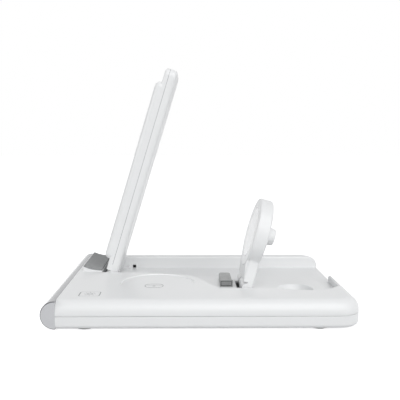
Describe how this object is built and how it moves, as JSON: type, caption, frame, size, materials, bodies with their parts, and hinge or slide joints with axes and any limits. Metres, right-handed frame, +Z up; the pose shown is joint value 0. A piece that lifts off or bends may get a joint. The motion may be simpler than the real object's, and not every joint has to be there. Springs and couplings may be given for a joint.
{
  "type": "three in one wireless charger",
  "caption": "Flat white charging base with a leaning phone panel and a round-headed watch stand that fold down into it, an earbud dish on the deck and a light bar along its front end.",
  "frame": {"origin": "on the table under the middle of the base", "axes": "+X from the light bar to the cable end, +Y from the earbud dish to the phone panel, +Z up"},
  "size_m": [0.183, 0.14, 0.1542],
  "materials": {
    "shell_white": "satin white moulding",
    "bar_grey": "clear grey-tinted moulding",
    "puck_white": "smooth white",
    "pad_rubber": "matte soft rubber",
    "foot_rubber": "matte rubber",
    "steel": "plain steel",
    "board_green": "solder mask",
    "chip_black": "moulded black",
    "ferrite_black": "sintered ferrite",
    "copper": "enamelled copper wire",
    "lamp": "clear lens"
  },
  "bodies": {
    "base": {"bottom_tray": "shell_white", "top_cover": "shell_white", "light_bar": "bar_grey", "led_board": "board_green", "led_row": "lamp", "rubber_feet": "foot_rubber", "case_screws": "steel", "main_board": "board_green", "control_chips": "chip_black", "power_inductors": "ferrite_black", "usb_c_socket": "steel", "socket_tongue": "chip_black", "earbud_coil": "copper", "earbud_ferrite": "ferrite_black", "touch_electrode": "copper", "phone_rest_pad": "pad_rubber", "steel_bracket": "steel", "phone_hinge_pin": "steel"},
    "phone_panel": {"phone_front_shell": "shell_white", "phone_rear_shell": "shell_white", "phone_coils": "copper", "phone_ferrite": "ferrite_black", "phone_hinge_sleeves": "steel"},
    "watch_stand": {"watch_front_shell": "shell_white", "watch_back_shell": "shell_white", "watch_puck": "puck_white", "watch_coil": "copper", "watch_ferrite": "ferrite_black", "watch_magnet": "steel", "watch_hinge_pin": "steel"}
  },
  "joints": [
    {"name": "phone_fold", "type": "hinge", "parent": "base", "child": "phone_panel", "pos_m": [-0.06116, 0.03025, 0.013], "axis": [0, 1, 0], "range_deg": [0, 73]},
    {"name": "watch_fold", "type": "hinge", "parent": "base", "child": "watch_stand", "pos_m": [0.0282, -0.022, 0.01584], "axis": [0, 1, 0], "range_deg": [0, 74.7]}
  ]
}
